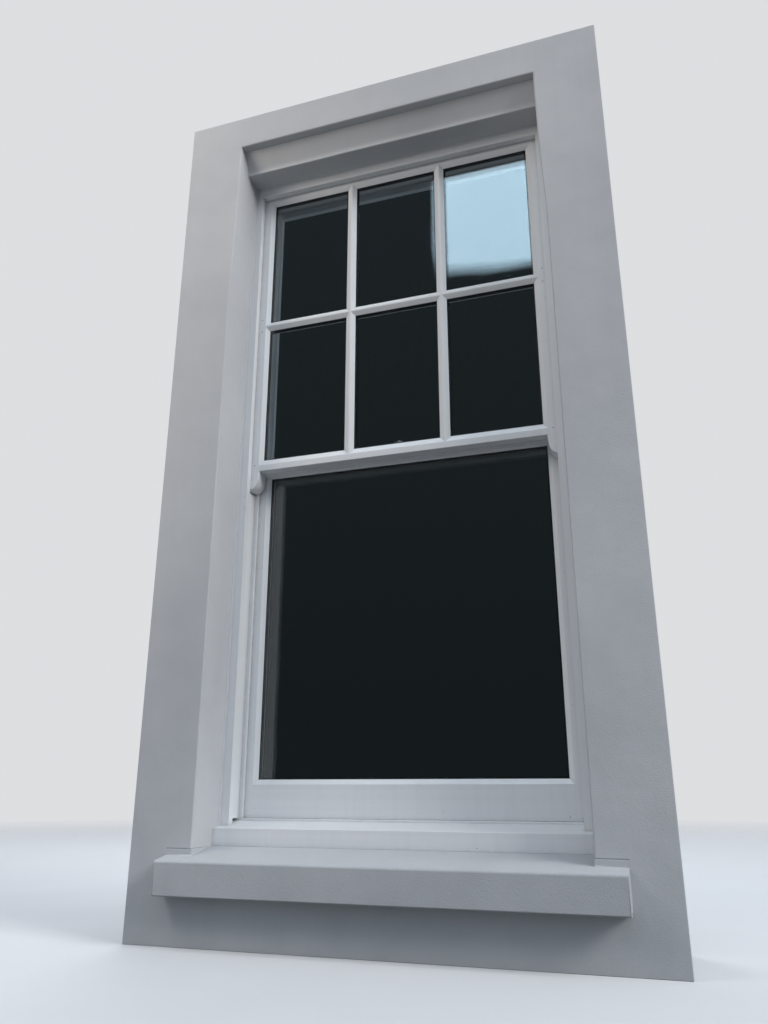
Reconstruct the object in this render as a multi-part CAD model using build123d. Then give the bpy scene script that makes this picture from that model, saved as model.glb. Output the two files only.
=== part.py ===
from build123d import *
import os

# Six-over-one box sash window in a rendered wall opening, closed, in millimetres.
# X runs along the wall, -Y is outdoors, +Z is up. The origin is the middle of the base.

# Glass of the top sash: three panes by two, parted by glazing bars
pane_width = 222.0
pane_height = 381.0
panes_across = 3
pane_rows = 2
bar_width = 27.0
bar_fillet = 6.0
bar_web = 10.0

# Glass of the bottom sash
lower_glass_height = 753.0

# Sash timber
sash_thickness = 42.0
stile_width = 38.0
top_rail_height = 45.0
meeting_rail_height = 31.0
meeting_overhang = 4.0
bottom_rail_height = 85.0
face_to_glass = 8.0
bevel_width = 11.5
meeting_bevel = 15.0
glass_thickness = 14.0
glass_bedding = 0.3
rebate_depth = 8.0
shoulder_depth = 3.5
meeting_splay = 3.0
meeting_clearance = 0.8
weather_groove_setback = 28.0
weather_groove_radius = 1.5

# Moulded horns of the top sash
horn_length = 49.0
horn_shoulder = 8.0
horn_lean = 3.0
horn_round = 26.0

# Box frame
sash_side_gap = 2.0
running_gap = 0.8
sash_top_gap = 0.3
outer_lining_thickness = 18.0
outer_lining_cover = 9.0
head_lining_drop = 21.0
inner_lining_thickness = 18.0
pulley_stile_thickness = 25.0
weight_space = 50.0
back_lining_thickness = 6.0
frame_head_thickness = 30.0
parting_bead_thickness = 8.0
parting_bead_height = 18.0
parting_groove_depth = 8.0
staff_bead_width = 20.0
sill_bead_height = 24.0
bead_roundness = 7.0

# Timber sill
sill_seat_height = 65.0
sill_weathering = 1 / 7
sill_step = 4.0
sill_nose_overhang = 27.0
drip_radius = 4.0

# Rendered wall, cut off plainly round the opening
wall_margin = 150.0
wall_above_recess = 100.0
wall_below_sill = 100.0
reveal_depth = 111.0
lining_show = 25.0
frame_packing = 5.0

# The opening narrows a little where it rises past the head of the glass
head_narrowing = 9.0
narrowing_below_head = 90.0
narrowing_above_head = 30.0

# Lintel box over the window: its face leans inward to an upright lip, like a bell-cast
lintel_setback = 22.0
lintel_height = 64.0
lintel_soffit_rise = 48.0
lintel_lean = 24.0
lintel_lip_height = 16.0
lintel_bend = 50.0
lintel_arris = 3.0

# Stone sub-sill
stone_sill_height = 90.0
stone_sill_projection = 45.0
stone_sill_end = 60.0
stone_sill_depth = 130.0
stone_sill_fall = 22.0
stone_sill_arris = 6.0
stone_drip_radius = 6.0

# Pulleys, cords, fastener and lifts on the room side
pulley_drop = 85.0
pulley_plate_length = 110.0
pulley_plate_width = 26.0
pulley_plate_thickness = 3.0
pulley_wheel_diameter = 44.0
pulley_wheel_width = 11.0
cord_line = 9.0
pulley_cheek = 3.0
pulley_fit = 0.3
axle_diameter = 7.0
cord_diameter = 6.0
cord_groove_width = 9.0
cord_groove_length = 260.0
cord_tail = 30.0
lift_width = 42.0
lift_spacing = 400.0
lift_plate_height = 30.0
lift_plate_thickness = 3.0
lift_reach = 24.0
lift_bend = 6.0
lift_lip = 4.0
fastener_length = 66.0
fastener_width = 22.0
fastener_plate = 3.0
fastener_post_diameter = 14.0
fastener_post_height = 15.0
fastener_arm_width = 12.0
fastener_arm_thickness = 6.0
fastener_arm_overlap = 3.5
fastener_knob_diameter = 14.0
keep_length = 42.0
keep_width = 14.0
keep_lug_width = 6.0
keep_lug_height = 12.0

# How far a cut runs on past the piece it is made in
cut_over = 1.0

STANDING = (Align.CENTER, Align.CENTER, Align.MIN)

# Widths from the middle outward
glass_half = (panes_across * pane_width + (panes_across - 1) * bar_width) / 2
sash_half = glass_half + stile_width
stile_face = sash_half + sash_side_gap
lining_edge = stile_face - outer_lining_cover
reveal_half = lining_edge + lining_show
box_edge = stile_face + pulley_stile_thickness + weight_space + back_lining_thickness
bar_ridge = bar_width - 2 * bevel_width
ovolo_radius = (bar_width - bar_fillet) / 2
wall_half = reveal_half + wall_margin

# Depths from the wall's outer face inward
lining_front = reveal_depth
lining_back = lining_front + outer_lining_thickness
top_face = lining_back + running_gap
top_glass = top_face + face_to_glass
groove_depth = face_to_glass + glass_thickness + 2 * glass_bedding
top_inner = top_face + sash_thickness
bead_front = top_inner + running_gap
bead_back = bead_front + parting_bead_thickness
bottom_face = bead_back + running_gap
bottom_glass = bottom_face + face_to_glass
bottom_inner = bottom_face + sash_thickness
staff_front = bottom_inner + running_gap
wall_thickness = staff_front + inner_lining_thickness
sill_nose = lining_front - sill_nose_overhang
mid_depth = (bottom_inner + lift_reach - stone_sill_projection) / 2

# Heights from the base upward
stone_top = wall_below_sill + stone_sill_height
sill_top = stone_top + sill_seat_height
sill_inner_edge = staff_front


def weathering(depth):
    """Height of the timber sill's sloping top at a depth from the wall's outer face."""
    step = sill_step if depth < bead_front else 0
    return sill_top - sill_step - (sill_inner_edge - depth) * sill_weathering - step


lower_glass_foot = weathering(bottom_face) + sash_top_gap + bottom_rail_height
lower_glass_head = lower_glass_foot + lower_glass_height
meeting_foot = lower_glass_head + meeting_overhang
glass_foot = meeting_foot + meeting_rail_height
glass_head = glass_foot + pane_rows * pane_height + (pane_rows - 1) * bar_width
sash_top = glass_head + top_rail_height
head_underside = sash_top + sash_top_gap
head_lining_edge = glass_head + head_lining_drop
recess_soffit = glass_head + lintel_soffit_rise
recess_top = recess_soffit + lintel_height
wall_top = recess_top + wall_above_recess


def block(x0, x1, y0, y1, z0, z1):
    """Plain rectangular solid between two corners."""
    return Pos((x0 + x1) / 2, (y0 + y1) / 2, (z0 + z1) / 2) * Box(x1 - x0, y1 - y0, z1 - z0)


def upright(face, z0, z1):
    """Section drawn in plan, carried from one height to another."""
    return extrude(Pos(0, 0, z0) * face, amount=z1 - z0)


def crosswise(face, half_length):
    """Section drawn in depth and height, carried along the wall to both sides."""
    return extrude(Plane.YZ * face, amount=half_length, both=True)


def mirrored(part):
    """The same piece on the other side of the window."""
    return mirror(part, about=Plane.YZ)


def corner(face, x, y):
    """The corner of a section that lies at or next to a point."""
    return face.vertices().sort_by_distance((x, y, 0))[0]


def member_section(width):
    """Section of a stile or rail: x from its back edge to the glass, y from its outer face inward.

    The outer edge is bevelled down to the glass, which sits in a groove. The room side has an ovolo.
    """
    shoulder = groove_depth + shoulder_depth
    ovolo_edge = width - ovolo_radius
    outline = Polyline((width, shoulder), (width, groove_depth), (width - rebate_depth, groove_depth),
                       (width - rebate_depth, face_to_glass), (width, face_to_glass),
                       (width - bevel_width, 0), (0, 0), (0, sash_thickness),
                       (ovolo_edge, sash_thickness), (ovolo_edge, shoulder + ovolo_radius))
    ovolo = CenterArc((ovolo_edge, shoulder), ovolo_radius, 0, 90)
    return make_face(outline + ovolo)


def bar_section():
    """Section of a glazing bar about its own middle: bevels outdoors, ovolos on the room side."""
    shoulder = groove_depth + shoulder_depth
    half = bar_width / 2
    fillet_edge = bar_fillet / 2
    side = Polyline((0, 0), (bar_ridge / 2, 0), (half, face_to_glass), (bar_web / 2, face_to_glass),
                    (bar_web / 2, groove_depth), (half, groove_depth), (half, shoulder))
    side += CenterArc((fillet_edge, shoulder), ovolo_radius, 0, 90)
    side += Polyline((fillet_edge, shoulder + ovolo_radius), (fillet_edge, sash_thickness),
                     (0, sash_thickness))
    return make_face(side + mirror(side, about=Plane.YZ))


def horn_cutter():
    """What is sawn off the foot of the left stile to leave the moulded horn."""
    shoulder = (-glass_half - horn_shoulder, meeting_foot)
    foot = meeting_foot - horn_length
    round_middle = (shoulder[0] - horn_lean - horn_round, foot + horn_round)
    belly = CenterArc(round_middle, horn_round, 0, -90)
    clear = -glass_half + cut_over
    outline = Line(shoulder, belly @ 0) + belly
    outline += Polyline(belly @ 1, (round_middle[0], foot - cut_over), (clear, foot - cut_over),
                        (clear, meeting_foot), shoulder)
    return extrude(Plane.XZ * make_face(outline), amount=-wall_thickness)


def top_stile():
    """Left stile of the top sash, running on below the meeting rail as a horn."""
    section = Pos(-sash_half, top_face) * member_section(stile_width)
    return upright(section, meeting_foot - horn_length, sash_top) - horn_cutter()


def bottom_stile():
    """Left stile of the bottom sash, grooved at its edge for the sash cord."""
    section = Pos(-sash_half, bottom_face) * member_section(stile_width)
    stile = upright(section, weathering(bottom_inner), glass_foot)
    stile -= sill_cutter()
    middle = bottom_face + sash_thickness / 2
    half_groove = cord_groove_width / 2
    return stile - block(-sash_half - cut_over, -stile_face + cord_line + half_groove, middle - half_groove,
                         middle + half_groove, glass_foot - cord_groove_length, glass_foot + cut_over)


def sill_cutter():
    """Everything below the line where the bottom sash meets the sloping sill."""
    front, back = bead_back, wall_thickness
    line = [(front, weathering(front) + sash_top_gap), (back, weathering(back) + sash_top_gap)]
    return crosswise(make_face(Polyline(*line, (back, 0), (front, 0), close=True)), wall_half)


def rail_section(depth, back_edge, width, glass_above):
    """Member section turned so that its width stands upright: x is depth and y is height."""
    turn = Plane(origin=(depth, back_edge, 0), x_dir=(0, 1 if glass_above else -1, 0),
                 z_dir=(0, 0, -1 if glass_above else 1))
    return turn * member_section(width)


def top_rail():
    """Top rail of the top sash, scribed to the mouldings of both stiles."""
    section = rail_section(top_face, sash_top, top_rail_height, glass_above=False)
    return crosswise(section, sash_half)


def top_meeting_rail():
    """Meeting rail of the top sash: bevelled to the glass, splayed where the sashes close."""
    groove_back = top_face + groove_depth
    splay_top = top_inner + running_gap
    outline = Polyline((top_face, meeting_foot), (top_face, glass_foot - meeting_bevel),
                       (top_glass, glass_foot), (top_glass, glass_foot - rebate_depth),
                       (groove_back, glass_foot - rebate_depth), (groove_back, glass_foot),
                       (splay_top, glass_foot), (splay_top + meeting_splay, meeting_foot), close=True)
    groove = Pos(top_face + weather_groove_setback, meeting_foot) * Circle(weather_groove_radius)
    return meeting_rail(make_face(outline) - groove, -sash_half, top_face)


def bottom_meeting_rail():
    """Meeting rail of the bottom sash, whose splay closes on the one outside it."""
    groove_back = bottom_face + groove_depth
    shoulder = groove_back + shoulder_depth
    splay_top = top_inner + running_gap + meeting_clearance
    foot = lower_glass_head
    outline = Polyline((shoulder, foot), (groove_back, foot), (groove_back, foot + rebate_depth),
                       (bottom_glass, foot + rebate_depth), (bottom_glass, foot), (bottom_face, meeting_foot),
                       (splay_top + meeting_splay, meeting_foot), (splay_top, glass_foot),
                       (bottom_inner, glass_foot), (bottom_inner, foot + ovolo_radius),
                       (shoulder + ovolo_radius, foot + ovolo_radius))
    ovolo = CenterArc((shoulder, foot + ovolo_radius), ovolo_radius, 0, -90)
    return meeting_rail(make_face(outline + ovolo), -sash_half, bottom_face)


def meeting_rail(section, outer_edge, face):
    """Meeting rail scribed between its stiles and notched round the parting beads."""
    rail = crosswise(section, -outer_edge)
    stile = upright(Pos(outer_edge, face) * member_section(stile_width), lower_glass_head, glass_foot)
    notch_edge = -stile_face + parting_bead_height - parting_groove_depth + running_gap
    notch = block(outer_edge, notch_edge, top_inner, bottom_face, lower_glass_head, glass_foot)
    return rail - stile - mirrored(stile) - notch - mirrored(notch)


def bottom_rail():
    """Deep rail at the foot of the bottom sash, its underside cut to the sill's slope."""
    deepest = lower_glass_foot - weathering(bottom_face)
    section = rail_section(bottom_face, lower_glass_foot - deepest, deepest, glass_above=True)
    return crosswise(section, sash_half) - sill_cutter()


def bar_positions():
    """Middle of each upright bar along the wall."""
    pitch = pane_width + bar_width
    return [-glass_half + pane_width + bar_width / 2 + n * pitch for n in range(panes_across - 1)]


def upright_bar(x):
    """Glazing bar from rail to rail, its ends scribed over their bevels."""
    bar = upright(Pos(x, top_face) * bar_section(), glass_foot - meeting_bevel, glass_head + bevel_width)
    return bar - top_rail() - top_meeting_rail()


def cross_bars():
    """Short level bars between the stiles and the upright bars, scribed to their mouldings."""
    level = glass_foot + pane_height + bar_width / 2
    section = Plane(origin=(top_face, level, 0), x_dir=(0, 1, 0), z_dir=(0, 0, -1)) * bar_section()
    bars = crosswise(section, glass_half + bevel_width)
    for x in bar_positions():
        bars -= upright(Pos(x, top_face) * bar_section(), glass_foot, glass_head)
    stile = upright(Pos(-sash_half, top_face) * member_section(stile_width), glass_foot, glass_head)
    return bars - stile - mirrored(stile)


def top_panes():
    """Six panes, each bedded in the grooves round it."""
    edge = rebate_depth - glass_bedding
    front = top_glass + glass_bedding
    panes = []
    for column in range(panes_across):
        for row in range(pane_rows):
            left = -glass_half + column * (pane_width + bar_width)
            foot = glass_foot + row * (pane_height + bar_width)
            panes.append(block(left - edge, left + pane_width + edge, front, front + glass_thickness,
                               foot - edge, foot + pane_height + edge))
    return Compound(panes)


def bottom_pane():
    """The single sheet of the bottom sash."""
    edge = rebate_depth - glass_bedding
    front = bottom_glass + glass_bedding
    return block(-glass_half - edge, glass_half + edge, front, front + glass_thickness,
                 lower_glass_foot - edge, lower_glass_head + edge)


def pulley_middle():
    """Depth and height of the pulley's axle."""
    return bottom_face + sash_thickness / 2, head_underside - pulley_drop


def pulley_stile():
    """Left pulley stile, grooved for the parting bead and cut for the pulley."""
    back = -stile_face - pulley_stile_thickness
    front = -stile_face + cut_over
    stile = block(back, -stile_face, lining_back, staff_front, weathering(bottom_face), head_underside)
    stile -= block(-stile_face - parting_groove_depth, front, bead_front, bead_back, 0, wall_top)
    depth, height = pulley_middle()
    half_plate = pulley_plate_width / 2
    stile -= block(back - cut_over, front, depth - half_plate, depth + half_plate,
                   height - pulley_plate_length / 2, height + pulley_plate_length / 2)
    return stile - sill_body()


def outer_lining():
    """Left outer lining, lapping the sash outdoors and the back of the reveal behind."""
    lining = block(-box_edge, -lining_edge, lining_front, lining_back, stone_top, head_lining_edge)
    return lining - sill_body()


def outer_head_lining():
    """Outer lining of the head, over both side linings."""
    return block(-box_edge, box_edge, lining_front, lining_back, head_lining_edge, recess_top)


def inner_lining():
    """Left inner lining, flush with the plaster and with the pulley stile's face."""
    lining = block(-box_edge, -stile_face, staff_front, wall_thickness, stone_top, head_underside)
    return lining - sill_body()


def inner_head_lining():
    """Inner lining of the head, over both side linings."""
    return block(-box_edge, box_edge, staff_front, wall_thickness, head_underside, recess_top)


def back_lining():
    """Thin board that closes the left weight box next to the wall."""
    inner_edge = -box_edge + back_lining_thickness
    board = block(-box_edge, inner_edge, lining_back, staff_front, stone_top, head_underside)
    return board - sill_body()


def frame_head():
    """Head of the box frame between its two linings, grooved for the parting bead."""
    top = head_underside + frame_head_thickness
    groove_top = head_underside + parting_groove_depth
    groove_half = stile_face + parting_groove_depth
    head = block(-box_edge, box_edge, lining_back, staff_front, head_underside, top)
    return head - block(-groove_half, groove_half, bead_front, bead_back, 0, groove_top)


def parting_bead():
    """Left parting bead, standing in its groove between the two sashes."""
    back = -stile_face - parting_groove_depth
    bead = block(back, back + parting_bead_height, bead_front, bead_back, stone_top + sill_seat_height / 2,
                 head_underside)
    return bead - sill_body()


def head_parting_bead():
    """Parting bead across the head."""
    drop = parting_bead_height - parting_groove_depth
    half = stile_face + parting_groove_depth
    bead = block(-half, half, bead_front, bead_back, head_underside, head_underside + parting_groove_depth)
    return bead + block(-stile_face + drop, stile_face - drop, bead_front, bead_back, head_underside - drop,
                        head_underside)


def staff_section(width):
    """Staff bead in plan from its back edge: a rectangle with its room-side nose rounded."""
    depth = wall_thickness - staff_front
    face = make_face(Polyline((0, 0), (width, 0), (width, depth), (0, depth), close=True))
    return fillet(corner(face, width, depth), bead_roundness)


def staff_bead():
    """Left staff bead, which keeps the bottom sash in its channel."""
    section = Pos(-stile_face, staff_front) * staff_section(staff_bead_width)
    return upright(section, sill_top + sill_bead_height, head_underside - staff_bead_width)


def level_staff_bead(height, width, upward):
    """Staff bead along the head or the sill."""
    turn = Plane(origin=(staff_front, height, 0), x_dir=(0, 1 if upward else -1, 0),
                 z_dir=(0, 0, -1 if upward else 1))
    return crosswise(turn * staff_section(width), stile_face)


def sill_body():
    """Hardwood sill: level under the room-side bead, weathered and stepped outdoors, with a drip."""
    step_head = weathering(bead_front)
    outline = Polyline((sill_nose, stone_top), (sill_nose, weathering(sill_nose)),
                       (bead_front, step_head - sill_step), (bead_front, step_head),
                       (sill_inner_edge, weathering(sill_inner_edge)), (sill_inner_edge, sill_top),
                       (wall_thickness, sill_top), (wall_thickness, stone_top), close=True)
    body = crosswise(make_face(outline), box_edge)
    end = block(reveal_half, box_edge + cut_over, 0, lining_front, 0, wall_top)
    drip = Plane.YZ * (Pos((sill_nose + lining_front) / 2, stone_top) * Circle(drip_radius))
    return body - end - mirrored(end) - extrude(drip, amount=wall_half, both=True)


def stone_sill():
    """Stone sub-sill: weathered top, rounded nose, drip groove, and level seats that carry the jambs."""
    front = -stone_sill_projection
    nose_top = stone_top - stone_sill_fall
    outline = Polyline((front, wall_below_sill), (front, nose_top), (sill_nose - running_gap, stone_top),
                       (stone_sill_depth, stone_top), (stone_sill_depth, wall_below_sill), close=True)
    section = make_face(outline)
    section = fillet(corner(section, front, nose_top), stone_sill_arris)
    end = reveal_half + stone_sill_end
    seat = block(reveal_half, end, 0, stone_sill_depth, wall_below_sill, stone_top)
    drip = Plane.YZ * (Pos(front / 2, wall_below_sill) * Circle(stone_drip_radius))
    return crosswise(section, end) + seat + mirrored(seat) - extrude(drip, amount=wall_half, both=True)


def lintel_box():
    """Rendered box over the window: its face leans inward to an upright lip, its soffit is level."""
    lip_front = lintel_setback + lintel_lean
    lip_top = recess_soffit + lintel_lip_height
    outline = Polyline((lintel_setback, recess_top), (lip_front, lip_top), (lip_front, recess_soffit),
                       (lining_front, recess_soffit), (lining_front, recess_top), close=True)
    section = make_face(outline)
    section = fillet(corner(section, lip_front, lip_top), lintel_bend)
    section = fillet(corner(section, lip_front, recess_soffit), lintel_arris)
    return crosswise(section, reveal_half - head_narrowing)


def reveal_opening():
    """The opening seen from outdoors, its sides drawn in a little at the head."""
    low = (reveal_half, glass_head - narrowing_below_head)
    high = (reveal_half - head_narrowing, glass_head + narrowing_above_head)
    side = Line((reveal_half, stone_top), low) + Spline(low, high, tangents=((0, 1), (0, 1)))
    side += Line(high, (high[0], recess_top))
    rest = Polyline((high[0], recess_top), (0, recess_top), (0, stone_top), (reveal_half, stone_top))
    opening = extrude(Plane.XZ * make_face(side + rest), amount=-lining_front - cut_over)
    opening = Pos(0, -cut_over, 0) * opening
    return opening + mirrored(opening)


def rendered_wall():
    """The masonry round the window, one mass, with its stepped opening and the sill's seat."""
    wall = block(-wall_half, wall_half, 0, wall_thickness, 0, wall_top) - reveal_opening()
    inner_half = box_edge + frame_packing
    wall -= block(-inner_half, inner_half, lining_front, wall_thickness + cut_over, stone_top, recess_top)
    end = reveal_half + stone_sill_end
    return wall - block(-end, end, -cut_over, stone_sill_depth, wall_below_sill, stone_top)


def pulley():
    """Left pulley: face plate and cheeks in one casting, with its wheel."""
    depth, height = pulley_middle()
    half_plate = pulley_plate_width / 2
    back = -stile_face - pulley_stile_thickness
    axle_x = -stile_face + cord_line - pulley_wheel_diameter / 2
    slot_half = pulley_wheel_width / 2 + pulley_fit
    slot_height = pulley_wheel_diameter / 2 + cord_diameter
    plate = block(-stile_face - pulley_plate_thickness, -stile_face, depth - half_plate, depth + half_plate,
                  height - pulley_plate_length / 2, height + pulley_plate_length / 2)
    case = plate
    for side in (-1, 1):
        near = depth + side * slot_half
        far = near + side * pulley_cheek
        case += block(back - pulley_wheel_diameter / 2, -stile_face, min(near, far), max(near, far),
                      height - slot_height, height + slot_height)
    case -= block(-stile_face - pulley_plate_thickness - cut_over, -stile_face + cut_over,
                  depth - slot_half, depth + slot_half, height - slot_height, height + slot_height)
    axle = Plane.XZ * (Pos(axle_x, height) * Circle(axle_diameter / 2))
    case += Pos(0, depth, 0) * extrude(axle, amount=slot_half + pulley_cheek, both=True)
    wheel = Cylinder(pulley_wheel_diameter / 2, pulley_wheel_width)
    wheel -= Cylinder(axle_diameter / 2 + pulley_fit, pulley_wheel_width)
    wheel -= Torus(pulley_wheel_diameter / 2, cord_diameter / 2 + pulley_fit)
    wheel = Pos(axle_x, depth, height) * Rot(90, 0, 0) * wheel
    return Compound([case.solid(), wheel.solid()])


def sash_cord():
    """Left cord of the bottom sash: over the wheel, straight down and into the stile's groove."""
    depth, height = pulley_middle()
    axle_x = -stile_face + cord_line - pulley_wheel_diameter / 2
    reach = pulley_wheel_diameter / 2
    foot = glass_foot - cord_groove_length + cord_diameter
    radius = cord_diameter / 2
    drop = Pos(axle_x + reach, depth, foot) * Cylinder(radius, height - foot, align=STANDING)
    tail = Pos(axle_x - reach, depth, height - cord_tail) * Cylinder(radius, cord_tail, align=STANDING)
    ring = Pos(axle_x, depth, height) * (Rot(90, 0, 0) * Torus(reach, radius))
    over = ring & block(axle_x - wall_half, axle_x + wall_half, 0, wall_thickness, height, wall_top)
    return drop + over + tail


def sash_lift():
    """Left hook lift screwed to the bottom rail, drawn in depth and height."""
    low = sill_top + sill_bead_height + lift_lip
    back = bottom_inner
    front = back + lift_reach
    middle = low + lift_plate_height / 2
    plate = lift_plate_thickness
    head = low + lift_plate_height
    outline = Polyline((back, low), (back, head), (back + plate, head), (back + plate, low + plate),
                       (front - plate, low + plate), (front - plate, middle), (front, middle), (front, low),
                       close=True)
    section = make_face(outline)
    section = fillet(corner(section, front, low), lift_bend)
    return Pos(-lift_spacing / 2, 0, 0) * crosswise(section, lift_width / 2)


def sash_fastener():
    """Cam fastener on the bottom sash's meeting rail: plate, post and arm with its knob."""
    middle = (bottom_face + bottom_inner) / 2
    reach = fastener_length / 2
    half_width = fastener_width / 2
    half_arm = fastener_arm_width / 2
    half_lever = fastener_arm_thickness / 2
    arm_top = glass_foot + fastener_post_height
    arm_foot = arm_top - fastener_arm_thickness
    plate = block(-reach, reach, middle - half_width, middle + half_width, glass_foot,
                  glass_foot + fastener_plate)
    post = Cylinder(fastener_post_diameter / 2, fastener_post_height, align=STANDING)
    arm = block(-half_arm, half_arm, keep_middle() - fastener_arm_overlap, middle, arm_foot, arm_top)
    lever = block(0, reach, middle - half_lever, middle + half_lever, arm_foot, arm_top)
    knob = Pos(reach, middle, arm_top) * Sphere(fastener_knob_diameter / 2)
    return plate + Pos(0, middle, glass_foot) * post + arm + lever + knob


def keep_middle():
    """Depth of the keep on the ledge of the top sash's meeting rail."""
    return (top_face + groove_depth + top_inner + running_gap) / 2


def fastener_keep():
    """Keep on the top sash's meeting rail: a plate with two lugs that the arm passes between."""
    front = keep_middle() - keep_width / 2
    back = keep_middle() + keep_width / 2
    near = fastener_arm_width / 2 + pulley_fit
    lug = block(near, near + keep_lug_width, front, back, glass_foot, glass_foot + keep_lug_height)
    plate = block(-keep_length / 2, keep_length / 2, front, back, glass_foot, glass_foot + fastener_plate)
    return plate + lug + mirrored(lug)


top_stile_left = top_stile()
bottom_stile_left = bottom_stile()
top_stiles = top_stile_left + mirrored(top_stile_left)
bottom_stiles = bottom_stile_left + mirrored(bottom_stile_left)

pieces = {
    "rendered_wall": rendered_wall(),
    "lintel_box": lintel_box(),
    "stone_sill": stone_sill(),
    "timber_sill": sill_body(),
    "frame_head": frame_head(),
    "outer_lining_head": outer_head_lining(),
    "inner_lining_head": inner_head_lining(),
    "parting_bead_head": head_parting_bead(),
    "staff_bead_head": level_staff_bead(head_underside, staff_bead_width, upward=False),
    "staff_bead_sill": level_staff_bead(sill_top, sill_bead_height, upward=True),
    "top_sash_top_rail": top_rail() - top_stiles,
    "top_sash_meeting_rail": top_meeting_rail(),
    "glazing_bar_left": upright_bar(bar_positions()[0]),
    "glazing_bar_right": upright_bar(bar_positions()[-1]),
    "glazing_bar_cross": cross_bars(),
    "top_sash_panes": top_panes(),
    "bottom_sash_meeting_rail": bottom_meeting_rail(),
    "bottom_sash_bottom_rail": bottom_rail() - bottom_stiles,
    "bottom_sash_pane": bottom_pane(),
    "sash_fastener": sash_fastener(),
    "fastener_keep": fastener_keep(),
}
handed = {
    "pulley_stile": pulley_stile(),
    "outer_lining": outer_lining(),
    "inner_lining": inner_lining(),
    "back_lining": back_lining(),
    "parting_bead": parting_bead(),
    "staff_bead": staff_bead(),
    "top_sash_stile": top_stile_left,
    "bottom_sash_stile": bottom_stile_left,
    "sash_pulley": pulley(),
    "sash_cord": sash_cord(),
    "sash_lift": sash_lift(),
}
for name, piece in handed.items():
    pieces[name + "_left"] = piece
    pieces[name + "_right"] = mirrored(piece)

os.makedirs("parts", exist_ok=True)
for name, piece in pieces.items():
    export_step(Pos(0, -mid_depth, 0) * piece, f"parts/{name}.step")
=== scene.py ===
import bpy
import bmesh
from math import cos, pi, radians, sin
from mathutils import Matrix, Vector, noise


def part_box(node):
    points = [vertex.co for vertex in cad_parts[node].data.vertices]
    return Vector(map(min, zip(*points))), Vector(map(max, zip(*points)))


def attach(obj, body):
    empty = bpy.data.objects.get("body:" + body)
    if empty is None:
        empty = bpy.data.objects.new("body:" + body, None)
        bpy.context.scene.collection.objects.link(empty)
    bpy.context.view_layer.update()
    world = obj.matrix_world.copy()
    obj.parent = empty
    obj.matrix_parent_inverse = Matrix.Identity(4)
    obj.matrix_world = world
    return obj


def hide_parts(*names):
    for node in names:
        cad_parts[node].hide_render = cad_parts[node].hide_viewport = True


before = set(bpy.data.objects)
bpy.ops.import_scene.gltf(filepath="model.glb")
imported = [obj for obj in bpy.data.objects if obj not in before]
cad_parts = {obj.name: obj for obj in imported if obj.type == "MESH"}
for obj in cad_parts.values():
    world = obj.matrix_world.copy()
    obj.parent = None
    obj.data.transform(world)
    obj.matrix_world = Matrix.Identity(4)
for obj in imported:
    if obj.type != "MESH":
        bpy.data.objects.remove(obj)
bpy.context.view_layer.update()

# The masonry round the opening: one-brick wall, rendered and trowelled smooth, with arrises run
# by hand along a batten and so never quite straight. Matt masonry paint was rolled over it.
# The cut edges of the piece stay plain.
wall_low, wall_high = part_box("rendered_wall")
lining_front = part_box("outer_lining_left")[0].y
weld = 0.000002
flat_turn = radians(0.5)
sharp_turn = radians(25)
smooth_turn = radians(40)


def whole_faces(node):
    """A copy of a solid's mesh, merged, with its triangles joined back into whole faces."""
    shape = bmesh.new()
    shape.from_mesh(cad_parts[node].data)
    bmesh.ops.remove_doubles(shape, verts=shape.verts, dist=weld)
    bmesh.ops.dissolve_limit(shape, angle_limit=flat_turn, verts=shape.verts, edges=shape.edges)
    return shape


def ease(shape, edges, arris, segments=2):
    """Rounds the given arrises by a radius."""
    bmesh.ops.bevel(shape, geom=edges, offset=arris, offset_type="OFFSET", segments=segments, profile=0.5,
                    affect="EDGES", material=-1, clamp_overlap=False)


def sharp_edges(shape, shortest, narrowest=0.0):
    """Sharp edges that are at least so long, between faces that are at least so wide."""
    return [e for e in shape.edges
            if e.is_manifold and e.calc_length() > shortest and e.calc_face_angle() > sharp_turn
            and min(f.calc_area() for f in e.link_faces) > narrowest * e.calc_length()]


def piece(name, shape, finish, slot, *nodes, turn=smooth_turn, flat_faces=True):
    """Makes an object of a finished shape, smooth over its curves, that stands for the given solids."""
    bmesh.ops.dissolve_degenerate(shape, edges=shape.edges, dist=weld)
    shape.normal_update()
    for face in shape.faces:
        face.smooth = True
    for edge in shape.edges:
        edge.smooth = edge.calc_face_angle(pi) < turn
    mesh = bpy.data.meshes.new(name)
    shape.to_mesh(mesh)
    shape.free()
    if "custom_normal" in mesh.attributes:
        mesh.attributes.remove(mesh.attributes["custom_normal"])
    made = bpy.data.objects.new(name, mesh)
    mesh.materials.append(finish)
    bpy.context.scene.collection.objects.link(made)
    if flat_faces:
        even = made.modifiers.new("even shading", "WEIGHTED_NORMAL")
        even.keep_sharp = True
    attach(made, "root")
    if nodes:
        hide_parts(*nodes)
    return made


def add(tree, kind, **sockets):
    """A shader node with its sockets set to values or joined to other sockets."""
    made = tree.nodes.new("ShaderNode" + kind)
    for name, value in sockets.items():
        put(tree, made, name.replace("_", " "), value)
    return made


def put(tree, made, name, value):
    """Sets one socket of a shader node, or joins it to the socket that feeds it."""
    socket = made.inputs[int(name)] if name.isdigit() else made.inputs[name]
    if isinstance(value, bpy.types.NodeSocket):
        tree.links.new(value, socket)
    else:
        socket.default_value = value


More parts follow.
